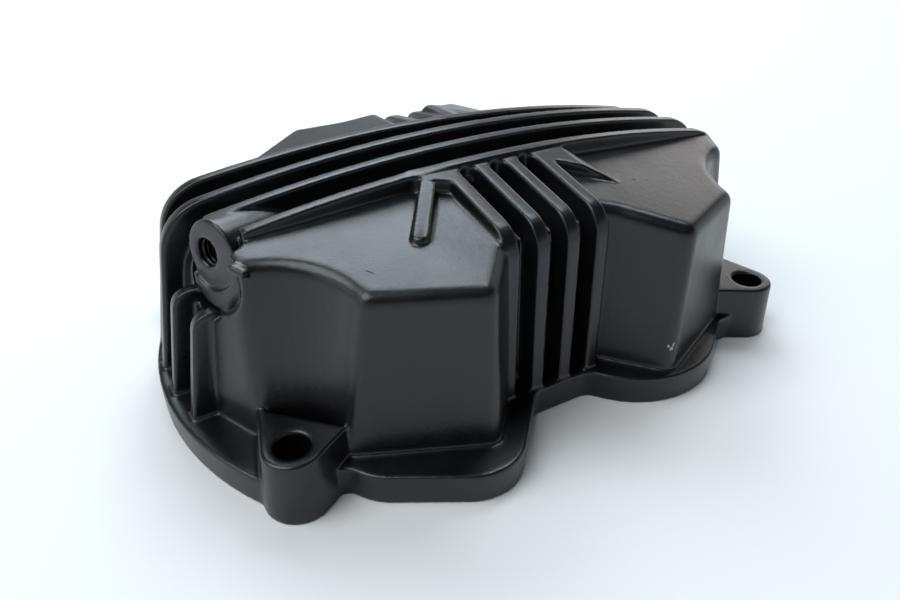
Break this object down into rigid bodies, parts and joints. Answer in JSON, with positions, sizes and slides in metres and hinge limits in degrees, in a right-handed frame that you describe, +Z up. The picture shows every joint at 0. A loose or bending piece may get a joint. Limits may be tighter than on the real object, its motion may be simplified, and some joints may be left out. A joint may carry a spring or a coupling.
{
  "type": "engine valve cover",
  "caption": "Die-cast engine valve cover with an arched, finned spine, box-shaped humps each side, cross ribs, bolt ears at the corners and a threaded boss.",
  "frame": {"origin": "centre of the gasket face, at the bottom of the cover", "axes": "+Z up away from the cylinder head; X along the fins, the long way; Y across them"},
  "size_m": [0.1564, 0.12, 0.0513],
  "materials": {
    "casting": "satin black paint on die-cast aluminium"
  },
  "bodies": {
    "root": {"valve_cover": "casting"}
  },
  "joints": []
}
